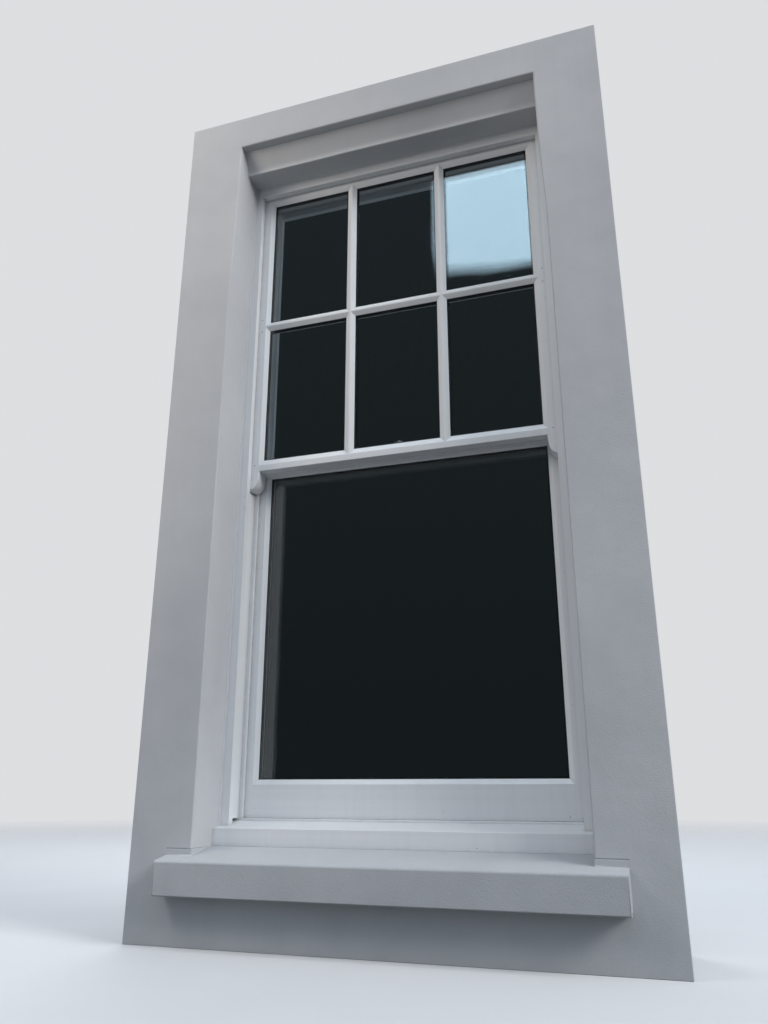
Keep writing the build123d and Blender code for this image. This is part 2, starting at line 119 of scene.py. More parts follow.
def effect(name, inputs, outputs):
    """A shader node group with named sockets: its tree, its way in and its way out."""
    tree = bpy.data.node_groups.new(name, "ShaderNodeTree")
    for title, kind, value in inputs:
        socket = tree.interface.new_socket(name=title, in_out="INPUT", socket_type=kind)
        if value is not None:
            socket.default_value = value
    for title in outputs:
        tree.interface.new_socket(name=title, in_out="OUTPUT", socket_type="NodeSocketFloat")
    return tree, tree.nodes.new("NodeGroupInput"), tree.nodes.new("NodeGroupOutput")


def place(tree, group, **sockets):
    """Places an effect in a material."""
    made = tree.nodes.new("ShaderNodeGroup")
    made.node_tree = group
    for name, value in sockets.items():
        put(tree, made, name.replace("_", " "), value)
    return made


def new_finish(name):
    """A new material: itself, its tree, its shader and its object coordinates."""
    made = bpy.data.materials.new(name)
    made.use_nodes = True
    tree = made.node_tree
    return made, tree, tree.nodes["Principled BSDF"], add(tree, "TexCoord").outputs["Object"]


def reckoned(tree, operation, first, second):
    """The result of a sum on two sockets or values."""
    made = tree.nodes.new("ShaderNodeMath")
    made.operation = operation
    put(tree, made, "0", first)
    put(tree, made, "1", second)
    return made.outputs[0]


def spread(tree, value, low, high, new_low, new_high):
    """Carries a socket's range over to another range, and holds it there."""
    return add(tree, "MapRange", Value=value, From_Min=low, From_Max=high, To_Min=new_low,
               To_Max=new_high).outputs[0]


def blend(tree, share, first, second):
    """The second colour laid over the first by a share."""
    made = tree.nodes.new("ShaderNodeMix")
    made.data_type = "RGBA"
    for name, value in (("0", share), ("6", first), ("7", second)):
        put(tree, made, name, value)
    return made.outputs[2]


def bumped(tree, height, depth, base=None):
    """Normal of a surface whose relief is a height of so many metres."""
    made = add(tree, "Bump", Strength=1.0, Distance=depth, Height=height)
    if base:
        put(tree, made, "Normal", base)
    return made.outputs["Normal"]


# Trowel waves, the nap of the roller and fine sand under the paint
rolled, way_in, way_out = effect("rolled masonry paint", [("Vector", "NodeSocketVector", None)],
                                 ["Wave", "Nap", "Tone"])
wave = add(rolled, "TexNoise", Vector=way_in.outputs["Vector"], Scale=6.0, Detail=3.0, Roughness=0.45)
nap = add(rolled, "TexNoise", Vector=way_in.outputs["Vector"], Scale=420.0, Detail=3.0, Roughness=0.6)
tone = add(rolled, "TexNoise", Vector=way_in.outputs["Vector"], Scale=2.2, Detail=6.0, Roughness=0.6)
rolled.links.new(wave.outputs["Fac"], way_out.inputs["Wave"])
rolled.links.new(nap.outputs["Fac"], way_out.inputs["Nap"])
rolled.links.new(tone.outputs["Fac"], way_out.inputs["Tone"])

# Rain streaks running down, and grime with painted shade where surfaces meet: the corners are darkened by ambient
# occlusion and broken into patches by noise
streaks_and_corner_shade, way_in, way_out = effect("rain streaks and corner shade", [("Vector", "NodeSocketVector", None),
                                                   ("Reach", "NodeSocketFloat", 0.02)], ["Streak", "Corner shade and grime"])
drawn = add(streaks_and_corner_shade, "Mapping", Vector=way_in.outputs["Vector"], Scale=(38.0, 38.0, 1.6))
streak = add(streaks_and_corner_shade, "TexNoise", Vector=drawn.outputs[0], Scale=1.0, Detail=4.0, Roughness=0.65)
shade = add(streaks_and_corner_shade, "AmbientOcclusion", Distance=way_in.outputs["Reach"])
shade.samples = 6
broken = add(streaks_and_corner_shade, "TexNoise", Vector=way_in.outputs["Vector"], Scale=60.0, Detail=4.0, Roughness=0.7)
# The corner mark is painted shade: one minus ambient occlusion, broken up by noise
corner = reckoned(streaks_and_corner_shade, "MULTIPLY", reckoned(streaks_and_corner_shade, "SUBTRACT", 1.0, shade.outputs["AO"]),
                  spread(streaks_and_corner_shade, broken.outputs["Fac"], 0.3, 0.7, 0.4, 1.0))
streaks_and_corner_shade.links.new(spread(streaks_and_corner_shade, streak.outputs["Fac"], 0.48, 0.75, 0.0, 1.0), way_out.inputs["Streak"])
streaks_and_corner_shade.links.new(corner, way_out.inputs["Corner shade and grime"])


def masonry_paint(name, pale, deep, shade_and_grime, nap_depth):
    """Matt masonry paint on render or stone: slightly patchy, with painted shade and grime in its corners, and a
    rolled nap.
    """
    made, tree, shader, at = new_finish(name)
    paint = place(tree, rolled, Vector=at)
    dirt_and_shade = place(tree, streaks_and_corner_shade, Vector=at, Reach=0.03)
    colour = blend(tree, spread(tree, paint.outputs["Tone"], 0.35, 0.65, 0.0, 1.0), pale, deep)
    colour = blend(tree, reckoned(tree, "MULTIPLY", dirt_and_shade.outputs["Streak"], 0.22), colour, deep)
    # Painted shade: corners darken towards the shade and grime colour where ambient occlusion is high
    colour = blend(tree, reckoned(tree, "MULTIPLY", dirt_and_shade.outputs["Corner shade and grime"], 0.16), colour, shade_and_grime)
    put(tree, shader, "Base Color", colour)
    put(tree, shader, "Roughness", spread(tree, paint.outputs["Tone"], 0.3, 0.7, 0.72, 0.86))
    waves = bumped(tree, paint.outputs["Wave"], 0.004)
    put(tree, shader, "Normal", bumped(tree, paint.outputs["Nap"], nap_depth, waves))
    shader.inputs["Specular IOR Level"].default_value = 0.35
    return made


wall_paint = masonry_paint("matt masonry paint", (0.56, 0.565, 0.58, 1), (0.48, 0.49, 0.51, 1),
                           (0.15, 0.15, 0.15, 1), 0.00045)

narrowing = 0.009
narrowing_foot = 0.42
narrowing_height = 0.45
glass_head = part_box("glazing_bar_left")[1].z
lintel_low, lintel_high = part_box("lintel_box")
narrow_reveal = lintel_high.x
stone_low, stone_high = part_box("stone_sill")
stone_top = stone_high.z


def eased(share):
    """A share from 0 to 1 that starts and ends gently."""
    return share * share * (3 - 2 * share)


def reveal_side(height):
    """Half width of the opening outdoors: it closes in slowly, by hand, towards the head."""
    share = min(max((height - glass_head + narrowing_foot) / narrowing_height, 0.0), 1.0)
    return narrow_reveal + narrowing * (1 - eased(share))


def cut_across(shape, axis, low, high, course):
    """Divides a shape by level or upright cuts, so that its faces can follow an uneven surface."""
    steps = int((high - low) / course)
    for step in range(1, steps):
        middle, across = Vector(), Vector()
        middle[axis] = low + (high - low) * step / steps
        across[axis] = 1
        bmesh.ops.bisect_plane(shape, geom=shape.verts[:] + shape.edges[:] + shape.faces[:], plane_co=middle,
                               plane_no=across, dist=weld)


course = 0.03
reveal_arris = 0.004
cut_arris = 0.0015
wall = whole_faces("rendered_wall")
cut_across(wall, 2, wall_low.z, wall_high.z, course)
for vertex in wall.verts:
    at = vertex.co
    if narrow_reveal - weld < abs(at.x) < narrow_reveal + narrowing + weld and at.z > stone_top - weld:
        at.x = reveal_side(at.z) * (1 if at.x > 0 else -1)
reveal_edges = [e for e in sharp_edges(wall, 0)
                if all(v.co.y < wall_low.y + weld and abs(v.co.x) < stone_high.x and v.co.z > stone_top - weld
                       for v in e.verts)
                and any(v.co.z > stone_top + weld for v in e.verts)]
ease(wall, reveal_edges, reveal_arris, 3)
cut_edges = [e for e in sharp_edges(wall, 0)
             if all(abs(v.co.x) > wall_high.x - weld for v in e.verts)
             or all(v.co.z > wall_high.z - weld for v in e.verts)]
ease(wall, cut_edges, cut_arris)
cut_across(wall, 0, wall_low.x, wall_high.x, course)
bmesh.ops.recalc_face_normals(wall, faces=wall.faces)
wall.normal_update()

# The trowel leaves it hollow here and there by up to so much, fading out at the cuts and joints
unevenness = 0.0016
swell_size, ripple_size = 4.3, 21.0
ripple_share = 0.18
joint_fade = 0.03
sill_fade = 0.16
for vertex in wall.verts:
    at = vertex.co
    from_lintel = max(lintel_low.z - at.z, lintel_low.y - at.y)
    from_sill = max(abs(at.x) - stone_high.x, at.z - stone_high.z, stone_low.z - at.z)
    from_joint = min(wall_high.x - abs(at.x), wall_high.z - at.z, at.z - wall_low.z, lining_front - at.y, from_lintel)
    share = min(from_joint / joint_fade, from_sill / sill_fade, 1.0)
    if share > 0:
        hollow = 0.5 + 0.5 * noise.noise(at * swell_size) + ripple_share * noise.noise(at * ripple_size)
        vertex.co = at - vertex.normal * unevenness * eased(share) * max(hollow, 0.0)
piece("wall_render", wall, wall_paint, "painted_render", "rendered_wall")

# The box over the window: a timber or blockwork box rendered like the wall, its face leaning in
# and swept out again to a drip lip at the foot, its soffit level.
lean = 0.5
sweep_height = 0.018
sweep_curve = 28.0
lip_height = 0.003
sweep_course = 0.002
lintel_unevenness = 0.0012
lintel_swell_size = 5.0
lintel = whole_faces("lintel_box")
cut_across(lintel, 2, lintel_low.z + lip_height, lintel_low.z + sweep_height + lip_height, sweep_course)
cut_across(lintel, 0, lintel_low.x, lintel_high.x, course)
bmesh.ops.recalc_face_normals(lintel, faces=lintel.faces)
for vertex in lintel.verts:
    at = vertex.co
    if at.y < -0.05 and lip_height < at.z - lintel_low.z < 2 * sweep_height:
        swept = max(lintel_low.z + sweep_height - at.z, 0.0)
        vertex.co.y = lintel_low.y + (lintel_high.z - at.z) * lean - sweep_curve * swept ** 2
    if at.y < lintel_high.y - 0.01 and at.z < lintel_high.z - 0.001:
        vertex.co.z += lintel_unevenness * (0.5 + 0.5 * noise.noise(at * lintel_swell_size))
        vertex.co.y += lintel_unevenness * (0.5 + 0.5 * noise.noise(at * lintel_swell_size + Vector((9, 0, 0))))
piece("lintel_render", lintel, wall_paint, "painted_render", "lintel_box", flat_faces=False)

# The sub-sill: cast stone bedded in the wall under the timber sill, weathered to throw the rain
# off, throated underneath, and painted with the wall.
stone_paint = masonry_paint("painted stone", (0.52, 0.53, 0.55, 1), (0.44, 0.45, 0.47, 1),
                            (0.13, 0.13, 0.125, 1), 0.0006)
stone_arris = 0.003
stone = whole_faces("stone_sill")
ease(stone, sharp_edges(stone, 0.04), stone_arris, 3)
piece("stone_sub_sill", stone, stone_paint, "painted_stone", "stone_sill")

# The box frame: softwood linings, stiles, beads and head round a hardwood sill, nailed together
# and brushed with eggshell paint, whose marks run along each member.
brushed, way_in, way_out = effect("brush marks", [("Vector", "NodeSocketVector", None)], ["Streak", "Tone"])
fine = add(brushed, "TexNoise", Vector=way_in.outputs["Vector"], Scale=1.0, Detail=5.0, Roughness=0.6)
coat = add(brushed, "TexNoise", Vector=way_in.outputs["Vector"], Scale=0.05, Detail=4.0, Roughness=0.55)
brushed.links.new(fine.outputs["Fac"], way_out.inputs["Streak"])
brushed.links.new(coat.outputs["Fac"], way_out.inputs["Tone"])

along_grain = 9.0
across_grain = 700.0


def eggshell(name, stretch):
    """Soft white eggshell paint, brushed along one axis, with painted shade and grime in the joints and a few specks.
    """
    made, tree, shader, at = new_finish(name)
    drawn = add(tree, "Mapping", Vector=at, Scale=stretch)
    brush = place(tree, brushed, Vector=drawn.outputs[0])
    dirt_and_shade = place(tree, streaks_and_corner_shade, Vector=at, Reach=0.012)
    speck = add(tree, "TexNoise", Vector=at, Scale=130.0, Detail=2.0, Roughness=0.5)
    colour = blend(tree, spread(tree, brush.outputs["Tone"], 0.35, 0.65, 0.0, 1.0),
                   (0.80, 0.805, 0.815, 1), (0.74, 0.75, 0.77, 1))
    colour = blend(tree, reckoned(tree, "MULTIPLY", dirt_and_shade.outputs["Streak"], 0.10), colour, (0.52, 0.53, 0.54, 1))
    colour = blend(tree, spread(tree, speck.outputs["Fac"], 0.74, 0.80, 0.0, 0.5), colour, (0.22, 0.21, 0.20, 1))
    # Painted shade: joints and corners darken by ambient occlusion, broken up like grime
    colour = blend(tree, reckoned(tree, "MULTIPLY", dirt_and_shade.outputs["Corner shade and grime"], 0.6), colour, (0.16, 0.16, 0.16, 1))
    put(tree, shader, "Base Color", colour)
    put(tree, shader, "Roughness", spread(tree, brush.outputs["Streak"], 0.3, 0.7, 0.34, 0.48))
    put(tree, shader, "Normal", bumped(tree, brush.outputs["Streak"], 0.00018))
    return made


upright_paint = eggshell("eggshell paint, upright", (across_grain, across_grain, along_grain))
level_paint = eggshell("eggshell paint, level", (along_grain, across_grain, across_grain))
timber_arris = 0.0009
shortest_arris = 0.012
narrowest_face = 0.6 * timber_arris


def joinery(node):
    """A timber member, its long arrises rubbed down before painting."""
    shape = whole_faces(node)
    ease(shape, sharp_edges(shape, shortest_arris, narrowest_face), timber_arris)
    low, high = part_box(node)
    level = high.x - low.x > high.z - low.z
    piece(node + "_joinery", shape, level_paint if level else upright_paint, "painted_timber", node)


for node in ("timber_sill", "frame_head", "outer_lining_head", "outer_lining_left", "outer_lining_right",
             "inner_lining_head", "inner_lining_left", "inner_lining_right", "pulley_stile_left",
             "pulley_stile_right", "parting_bead_head", "parting_bead_left", "parting_bead_right"):
    joinery(node)

# Mastic: a bead gunned into the joint between the linings and the render, wiped with a wet finger
# and painted over, so it swells and shrinks a little. A straighter one seals the box to the wall
# on the room side.
mastic_paint = masonry_paint("painted mastic", (0.60, 0.61, 0.63, 1), (0.52, 0.535, 0.56, 1),
                             (0.20, 0.20, 0.20, 1), 0.0001)
mastic_pitch = 0.012
waver_size = 37.0
outdoor_bead, outdoor_waver = 0.0028, 0.55
room_bead, room_waver = 0.0031, 0.2
seal_gap = 0.0025


def round_line(name, radius, sides):
    """An empty curve with a round section and closed ends."""
    line = bpy.data.curves.new(name, "CURVE")
    line.dimensions = "3D"
    line.bevel_depth = radius
    line.bevel_resolution = sides
    line.use_fill_caps = True
    return line


def drawn_out(line):
    """The shape that the curve's section sweeps out. The curve itself isn't kept."""
    holder = bpy.data.objects.new(line.name, line)
    mesh = bpy.data.meshes.new_from_object(holder)
    shape = bmesh.new()
    shape.from_mesh(mesh)
    bpy.data.meshes.remove(mesh)
    bpy.data.objects.remove(holder)
    bpy.data.curves.remove(line)
    bmesh.ops.recalc_face_normals(shape, faces=shape.faces)
    return shape


def beads(name, radius, waver, runs, slot):
    """Round beads of mastic along runs of points, each a little uneven along its length."""
    line = round_line(name, radius, 2)
    for run in runs:
        track = line.splines.new("POLY")
        track.points.add(len(run) - 1)
        for point, at in zip(track.points, run):
            point.co = (*at, 1)
            point.radius = 1 + waver * noise.noise(Vector(at) * waver_size)
    piece(name, drawn_out(line), mastic_paint, slot, turn=pi)


def stepped(first, last):
    """Points evenly spaced from one to the other."""
    first, last = Vector(first), Vector(last)
    steps = max(int((last - first).length / mastic_pitch), 1)
    return [first.lerp(last, step / steps) for step in range(steps + 1)]


def mirrored(run):
    """The same run on the other side of the window."""
    return [Vector((-p.x, p.y, p.z)) for p in run]


soffit = lintel_low.z
joint_inset = 0.004
upright = stepped((0, lining_front, stone_top + joint_inset), (0, lining_front, soffit))
left_joint = [Vector((-reveal_side(p.z), p.y, p.z)) for p in upright]
head_joint = stepped((joint_inset - narrow_reveal, lining_front, soffit),
                     (narrow_reveal - joint_inset, lining_front, soffit))
beads("mastic_outdoors.001", outdoor_bead, outdoor_waver,
      [left_joint + head_joint + mirrored(reversed(left_joint))], "painted_render")

seal_inset = 0.003
seal_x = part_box("inner_lining_left")[0].x - seal_gap
seal_y = wall_high.y - seal_inset
left_seal = stepped((seal_x, seal_y, stone_top + seal_inset),
                    (seal_x, seal_y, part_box("inner_lining_head")[1].z - seal_inset))
beads("mastic_room_side.001", room_bead, room_waver, [left_seal, mirrored(left_seal)], "painted_timber")

# Back linings: thin boards of sawn softwood that close the weight boxes towards the wall, nailed to
# the linings and never painted.
softwood, tree, shader, at = new_finish("sawn softwood")
drawn = add(tree, "Mapping", Vector=at, Scale=(90.0, 90.0, 4.0))
grain = add(tree, "TexNoise", Vector=drawn.outputs[0], Scale=1.0, Detail=6.0, Roughness=0.65, Distortion=0.4)
put(tree, shader, "Base Color", blend(tree, grain.outputs["Fac"], (0.50, 0.34, 0.19, 1), (0.30, 0.18, 0.09, 1)))
put(tree, shader, "Roughness", spread(tree, grain.outputs["Fac"], 0.3, 0.7, 0.65, 0.85))
put(tree, shader, "Normal", bumped(tree, grain.outputs["Fac"], 0.0004))
board_arris = 0.0004
for node in ("back_lining_left", "back_lining_right"):
    board = whole_faces(node)
    ease(board, sharp_edges(board, shortest=0.05), board_arris)
    piece(node + "_board", board, softwood, "bare_softwood", node)

# The top sash: stiles running on below the meeting rail as horns, rails and glazing bars scribed
# over one another, all bevelled outdoors to the glass.
for node in ("top_sash_stile_left", "top_sash_stile_right", "top_sash_top_rail", "top_sash_meeting_rail",
             "glazing_bar_left", "glazing_bar_right", "glazing_bar_cross"):
    joinery(node)

# Pins through the tenons of both sashes, punched below the face and stopped with filler that has sunk and gone dull
# under the paint. The holes' shade is painted: each stands as a dark grey disc a hair proud of the face.
sunk_filler_shade, tree, shader, at = new_finish("sunk filler painted as shade")
crumb = add(tree, "TexNoise", Vector=at, Scale=1500.0, Detail=3.0)
# Painted shade: the dark grey stands in for the shade inside the sunk holes
put(tree, shader, "Base Color", blend(tree, crumb.outputs["Fac"], (0.10, 0.095, 0.09, 1), (0.32, 0.31, 0.30, 1)))
put(tree, shader, "Roughness", spread(tree, crumb.outputs["Fac"], 0.3, 0.7, 0.7, 0.9))
put(tree, shader, "Normal", bumped(tree, crumb.outputs["Fac"], 0.0003))
pin_radius = 0.0016
pin_height = 0.0003
pin_taper = 0.7


def faces_at(corners):
    """The faces that meet at the given corners, each once and in order."""
    return list(dict.fromkeys(f for v in corners for f in v.link_faces))


def pins(name, face, places):
    """Filled pin holes on the outdoor face of a sash, coloured dark grey as painted shade."""
    shape = bmesh.new()
    for x, z in places:
        seat = Matrix.Translation((x, face, z)) @ Matrix.Rotation(pi / 2, 4, "X")
        disc = bmesh.ops.create_circle(shape, cap_ends=True, segments=12, radius=pin_radius, matrix=seat)
        raised = bmesh.ops.extrude_face_region(shape, geom=faces_at(disc["verts"]))["geom"]
        top = [v for v in raised if isinstance(v, bmesh.types.BMVert)]
        bmesh.ops.translate(shape, verts=top, vec=(0, -pin_height, 0))
        bmesh.ops.scale(shape, verts=top, vec=(pin_taper, 1, pin_taper), space=Matrix.Translation((-x, 0, -z)))
    bmesh.ops.recalc_face_normals(shape, faces=shape.faces)
    piece(name, shape, sunk_filler_shade, "painted_timber")


stile_low, stile_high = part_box("top_sash_stile_right")
cross_low, cross_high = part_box("glazing_bar_cross")
pin_inset = 0.004
pin_line = (stile_low.x + stile_high.x) / 2 + pin_inset
pin_scatter = 0.002
cross_middle = (cross_low.z + cross_high.z) / 2
pin_heights = (stile_high.z - 0.014, stile_high.z - 0.031, cross_middle + 0.021, cross_middle - 0.016,
               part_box("top_sash_meeting_rail")[0].z + 0.016)
pins("top_sash_pins", stile_low.y, [(side * (pin_line + pin_scatter * noise.noise(Vector((side, 0, z * 9)))), z)
                                    for side in (-1, 1) for z in pin_heights])

# The bottom sash: the same softwood members round one sheet, morticed and tenoned, with a deep
# bottom rail that stands on the sill and a meeting rail that closes on the one outside.
for node in ("bottom_sash_stile_left", "bottom_sash_stile_right", "bottom_sash_meeting_rail",
             "bottom_sash_bottom_rail"):
    joinery(node)

# Staff beads: rounded softwood beads pinned round the box on the room side, which keep the bottom
# sash in its channel and come off when a cord has to be renewed.
for node in ("staff_bead_head", "staff_bead_left", "staff_bead_right", "staff_bead_sill"):
    joinery(node)

# Sealed units: two sheets of clear float glass on a black spacer frame, bedded in the grooves of
# the sash members, one unit in each opening between the bars.
glass, tree, shader, at = new_finish("float glass")
ripple = add(tree, "TexNoise", Vector=at, Scale=5.0, Detail=1.0, Roughness=0.4)
dust = add(tree, "TexNoise", Vector=at, Scale=35.0, Detail=5.0, Roughness=0.7)
put(tree, shader, "Base Color", (0.80, 0.84, 0.85, 1))
put(tree, shader, "Roughness", spread(tree, dust.outputs["Fac"], 0.45, 0.8, 0.005, 0.04))
put(tree, shader, "Normal", bumped(tree, ripple.outputs["Fac"], 0.0004))
shader.inputs["Transmission Weight"].default_value = 1.0
shader.inputs["IOR"].default_value = 1.52

spacer, tree, shader, at = new_finish("black spacer")
pitted = add(tree, "TexNoise", Vector=at, Scale=800.0, Detail=2.0)
put(tree, shader, "Base Color", blend(tree, pitted.outputs["Fac"], (0.012, 0.012, 0.013, 1), (0.03, 0.03, 0.032, 1)))
put(tree, shader, "Roughness", spread(tree, pitted.outputs["Fac"], 0.3, 0.7, 0.45, 0.6))
sheet_thickness = 0.004
sheet_arris = 0.0004
spacer_width = 0.0105
spacer_play = 0.001


def sealed_units(node):
    """Two sheets of glass and their spacer for each pane of a sash."""
    shape = whole_faces(node)
    boxes = []
    while shape.faces:
        waiting = [shape.faces[:][0]]
        found = set(waiting)
        while waiting:
            for edge in waiting.pop().edges:
                for face in edge.link_faces:
                    if face not in found:
                        found.add(face)
                        waiting.append(face)
        corners = [v.co for f in found for v in f.verts]
        boxes.append([Vector(end(c[axis] for c in corners) for axis in range(3)) for end in (min, max)])
        bmesh.ops.delete(shape, geom=list(found), context="FACES")
    shape.free()
    sheets = bmesh.new()
    frames = bmesh.new()
    for low, high in sorted(boxes, key=lambda b: (b[0].z, b[0].x)):
        middle = (low + high) / 2
        size = high - low
        for depth in (low.y + sheet_thickness / 2, high.y - sheet_thickness / 2):
            bmesh.ops.create_cube(sheets, size=1, matrix=Matrix.LocRotScale(
                (middle.x, depth, middle.z), None, (size.x, sheet_thickness, size.z)))
        bar = bmesh.ops.create_cube(frames, size=1, matrix=Matrix.LocRotScale(middle, None, (
            size.x - spacer_play, size.y - 2 * sheet_thickness, size.z - spacer_play)))
        frames.normal_update()
        faces = [f for f in faces_at(bar["verts"]) if abs(f.normal.y) > 0.9]
        bmesh.ops.inset_individual(frames, faces=faces, thickness=spacer_width, use_even_offset=True)
        rims = [e for f in faces for e in f.edges]
        bmesh.ops.delete(frames, geom=faces, context="FACES_ONLY")
        bmesh.ops.bridge_loops(frames, edges=rims)
    bmesh.ops.recalc_face_normals(frames, faces=frames.faces)
    ease(sheets, sheets.edges[:], sheet_arris, 1)
    piece(node + "_glass", sheets, glass, "glazing", node)
    piece(node + "_spacer", frames, spacer, "glazing")


sealed_units("top_sash_panes")
sealed_units("bottom_sash_pane")

# Axle pulleys let into the pulley stiles and screwed there: a plated face and cheeks in one casting,
# with a grooved wheel on an axle.
plate_metal, tree, shader, at = new_finish("satin chrome")
rubbed = add(tree, "TexNoise", Vector=at, Scale=180.0, Detail=5.0, Roughness=0.65)
drawn = add(tree, "Mapping", Vector=at, Scale=(60.0, 2400.0, 2400.0))
scratch = add(tree, "TexNoise", Vector=drawn.outputs[0], Scale=1.0, Detail=4.0, Roughness=0.7)
dirt_and_shade = place(tree, streaks_and_corner_shade, Vector=at, Reach=0.004)
metal_colour = blend(tree, rubbed.outputs["Fac"], (0.80, 0.80, 0.81, 1), (0.68, 0.68, 0.69, 1))
# Painted shade: the fitting's corners and recesses darken by ambient occlusion, broken up like grime
put(tree, shader, "Base Color", blend(tree, reckoned(tree, "MULTIPLY", dirt_and_shade.outputs["Corner shade and grime"], 0.4), metal_colour,
                                      (0.12, 0.11, 0.10, 1)))
put(tree, shader, "Roughness", spread(tree, rubbed.outputs["Fac"], 0.35, 0.7, 0.29, 0.36))
put(tree, shader, "Normal", bumped(tree, scratch.outputs["Fac"], 0.00003))
shader.inputs["Metallic"].default_value = 1.0


def ironmongery(node, shortest, arris):
    """A metal fitting with its edges polished off."""
    shape = whole_faces(node)
    ease(shape, sharp_edges(shape, shortest), arris)
    piece(node + "_metal", shape, plate_metal, "polished_metal", node)


screw_radius = 0.0036
screw_crown = 0.0005
slot_width = 0.0009
slot_depth = 0.00045
first_turn, next_turn = 0.9, 1.3


def moved(shape, grown, way):
    """Moves the corners of what an extrusion has grown."""
    bmesh.ops.translate(shape, verts=[v for v in grown if isinstance(v, bmesh.types.BMVert)], vec=way)


def joined(shape, made, seat):
    """Adds one finished form to a shape, moved and turned to its seat."""
    made.transform(seat)
    mesh = bpy.data.meshes.new("joined")
    made.to_mesh(mesh)
    made.free()
    shape.from_mesh(mesh)
    bpy.data.meshes.remove(mesh)


def facing(way):
    """The turn that brings upward round to the given way."""
    return Vector(way).to_track_quat("Z", "Y").to_matrix().to_4x4()


def screws(name, way, places):
    """Slotted countersunk screws, raised a hair, that hold a plate facing the given way."""
    shape = bmesh.new()
    for count, at in enumerate(places):
        head = bmesh.new()
        bmesh.ops.create_circle(head, cap_ends=True, segments=20, radius=screw_radius)
        for side in (-1, 1):
            bmesh.ops.bisect_plane(head, geom=head.verts[:] + head.edges[:] + head.faces[:], dist=weld,
                                   plane_co=(0, side * slot_width / 2, 0), plane_no=(0, 1, 0))
        moved(head, bmesh.ops.extrude_face_region(head, geom=head.faces[:])["geom"], (0, 0, screw_crown))
        head.normal_update()
        rim = [e for e in head.edges if e.is_manifold and e.calc_face_angle() > sharp_turn
               and all(v.co.z > screw_crown / 2 for v in e.verts)]
        ease(head, rim, screw_crown / 2)
        slot = [f for f in head.faces if f.calc_center_median().z > 0.9 * screw_crown
                and abs(f.calc_center_median().y) < slot_width / 2]
        sunk = bmesh.ops.extrude_face_region(head, geom=slot)["geom"]
        bmesh.ops.delete(head, geom=slot, context="FACES_ONLY")
        moved(head, sunk, (0, 0, -slot_depth))
        bmesh.ops.recalc_face_normals(head, faces=head.faces)
        driven = Matrix.Rotation(first_turn + next_turn * count, 4, "Z")
        joined(shape, head, Matrix.Translation(at) @ facing(way) @ driven)
    piece(name, shape, plate_metal, "polished_metal")


screw_inset = 0.010
wheel_reach = 0.009
for side, node in ((-1, "sash_pulley_left"), (1, "sash_pulley_right")):
    ironmongery(node, shortest=0.02, arris=0.0006)
    low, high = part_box(node)
    plate_face = (high.x if side < 0 else low.x) + side * wheel_reach
    screws(node + "_screws", (-side, 0, 0), [(plate_face, (low.y + high.y) / 2, z)
                                             for z in (low.z + screw_inset, high.z - screw_inset)])

# Cam fastener: cast in chromed brass, a base plate screwed to the bottom sash's meeting rail, a
# turned post and an arm that swings over the keep and draws the rails together. The ball turns it.
fastener_low, fastener_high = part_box("sash_fastener")
sash_low, sash_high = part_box("bottom_sash_stile_left")
fastener_line = (sash_low.y + sash_high.y) / 2
fastener_reach = -fastener_low.x
fastener_half = fastener_high.y - fastener_line
ledge = fastener_low.z
plate_thickness = 0.003
plate_corner = 0.005
soft_arris = 0.0007
arm_top = ledge + 0.015
arm_half = 0.006
arm_thickness = 0.0055
arm_corner, arm_arris = 0.0055, 0.0009
ball_radius = 0.0066
ball_at = 0.033
base_screw_at = 0.0235


def rounded_bar(shape, low, high, corner, arris):
    """A bar or plate between two corners, its upright edges rounded and its top arrises softened."""
    low, high = Vector(low), Vector(high)
    made = bmesh.ops.create_cube(shape, size=1, matrix=Matrix.LocRotScale((low + high) / 2, None, high - low))
    shape.normal_update()
    others = set(shape.faces) - set(faces_at(made["verts"]))
    upright = [e for e in dict.fromkeys(e for v in made["verts"] for e in v.link_edges)
               if abs(e.verts[0].co.z - e.verts[1].co.z) > weld]
    ease(shape, upright, corner, segments=6)
    shape.normal_update()
    top = [f for f in shape.faces if f not in others and f.normal.z > 0.99]
    ease(shape, [e for f in top for e in f.edges], arris)


def turned(shape, outline, middle, axis):
    """A turned form: an outline of radius and height, spun round an axis through its middle."""
    profile = bmesh.new()
    points = [profile.verts.new((radius, 0, height)) for radius, height in outline]
    edges = [profile.edges.new(pair) for pair in zip(points, points[1:])]
    bmesh.ops.spin(profile, geom=points + edges, cent=(0, 0, 0), axis=(0, 0, 1), angle=2 * pi, steps=32,
                   use_merge=True)
    bmesh.ops.remove_doubles(profile, verts=profile.verts, dist=weld)
    bmesh.ops.recalc_face_normals(profile, faces=profile.faces)
    joined(shape, profile, Matrix.Translation(middle) @ facing(axis))


fastener = bmesh.new()
rounded_bar(fastener, (-fastener_reach, fastener_line - fastener_half, ledge),
            (fastener_reach, fastener_line + fastener_half, ledge + plate_thickness), plate_corner, soft_arris)
post = [(0, 0.0006), (0.0094, 0.0006), (0.0094, 0.0040), (0.0086, 0.0048), (0.0066, 0.0056), (0.0060, 0.0070),
        (0.0062, 0.0086), (0.0076, 0.0092), (0.0076, 0.0150), (0.0070, 0.0158), (0.0040, 0.0166), (0, 0.0168)]
turned(fastener, post, (0, fastener_line, ledge), (0, 0, 1))
rounded_bar(fastener, (-arm_half, fastener_low.y, arm_top - arm_thickness), (arm_half, fastener_line, arm_top),
            arm_corner, arm_arris)
lever = [(0, 0), (0.0030, 0), (0.0025, 0.012), (0.0022, 0.024), (0, 0.024)]
turned(fastener, lever, (0.004, fastener_line, arm_top - 0.003), (1, 0, 0))
ball = [(0, -0.0070), (0.0022, -0.0068), (0.0038, -0.0060), (0.0040, -0.0052)]
